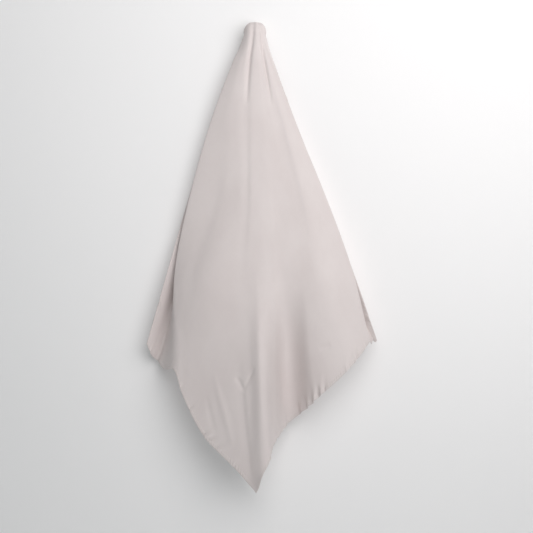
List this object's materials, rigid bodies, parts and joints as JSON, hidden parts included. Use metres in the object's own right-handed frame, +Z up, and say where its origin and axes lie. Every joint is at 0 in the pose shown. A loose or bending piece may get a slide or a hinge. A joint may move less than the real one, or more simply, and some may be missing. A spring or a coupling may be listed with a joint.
{
  "type": "square bandana on a round wall peg",
  "caption": "Plain square bandana with narrow turned hems, hung by one corner over a round wall peg so that it falls to a point in soft fanned folds.",
  "frame": {"origin": "centre of the peg plate's back face, on the wall", "axes": "+Z up, +X to the viewer's right, +Y into the wall; the cloth hangs in front of the wall at negative Y"},
  "size_m": [0.4561, 0.1231, 0.9277],
  "materials": {
    "cloth": "smooth plain woven cloth, dusty pale pink beige, soft matte sheen",
    "hem": "the same cloth turned twice and stitched, slightly puckered",
    "peg": "turned wood, smooth white paint"
  },
  "bodies": {
    "root": {"panel": "cloth", "hem_upper_left": "hem", "hem_upper_right": "hem", "hem_lower_left": "hem", "hem_lower_right": "hem", "peg_plate": "peg", "peg_knob": "peg"}
  },
  "joints": []
}
